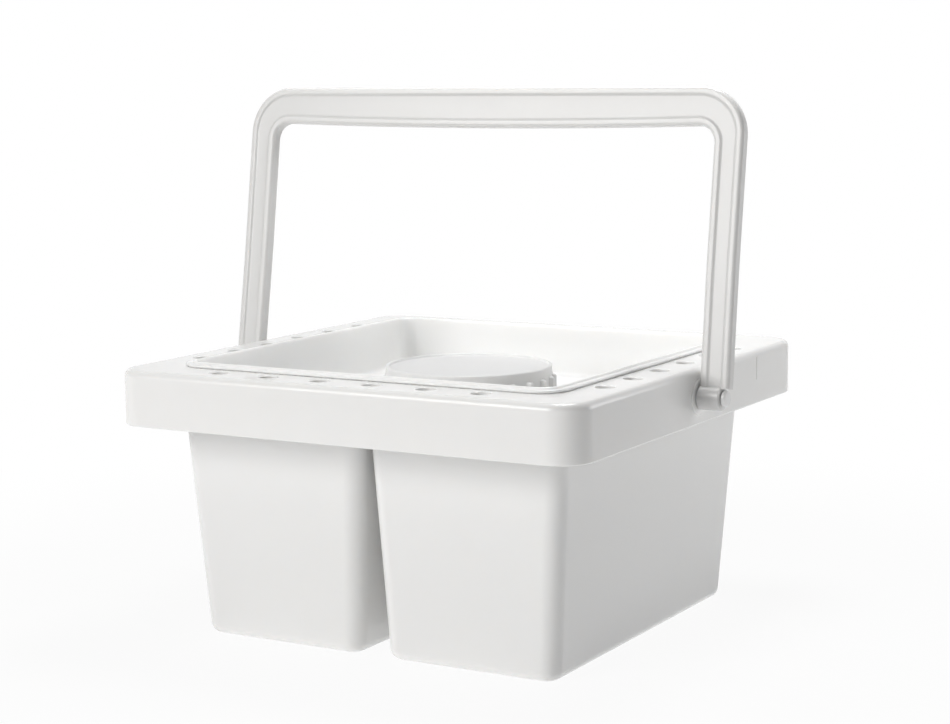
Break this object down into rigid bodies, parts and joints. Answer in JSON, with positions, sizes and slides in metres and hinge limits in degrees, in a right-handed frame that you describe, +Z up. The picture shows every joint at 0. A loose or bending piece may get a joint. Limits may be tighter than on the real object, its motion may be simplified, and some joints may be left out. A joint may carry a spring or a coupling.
{
  "type": "brush washer with lid",
  "caption": "Square two-basin brush washer with a skirted collar of brush holes, a drop-in tray lid, a ribbed neck cap and a pinned swing-over carry handle.",
  "frame": {"origin": "centre of the footprint, on the table under the basins", "axes": "+X is to the right along the handle's pivot pins, +Y is to the back and +Z is up; the front is -Y"},
  "size_m": [0.2484, 0.22, 0.2325],
  "materials": {
    "tub_plastic": "satin white moulded polypropylene",
    "lid_plastic": "glossy white moulded polypropylene",
    "cap_plastic": "satin white moulded polypropylene",
    "handle_plastic": "glossy white moulded polypropylene",
    "pin_plastic": "glossy white moulded plastic"
  },
  "bodies": {
    "tub": {"tub": "tub_plastic", "pivot_pin_left": "pin_plastic", "pivot_pin_right": "pin_plastic"},
    "lid": {"lid": "lid_plastic"},
    "cap": {"cap": "cap_plastic"},
    "handle": {"handle": "handle_plastic"}
  },
  "joints": [
    {"name": "handle_swing", "type": "hinge", "parent": "tub", "child": "handle", "pos_m": [0, 0, 0.1052], "axis": [1, 0, 0], "range_deg": [-81.5, 98.5]},
    {"name": "lid_lift", "type": "slide", "parent": "tub", "child": "lid", "axis": [0, 0, 1], "range_m": [0, 0.045]},
    {"name": "cap_lift", "type": "slide", "parent": "lid", "child": "cap", "axis": [0, 0, 1], "range_m": [0, 0.03]}
  ]
}
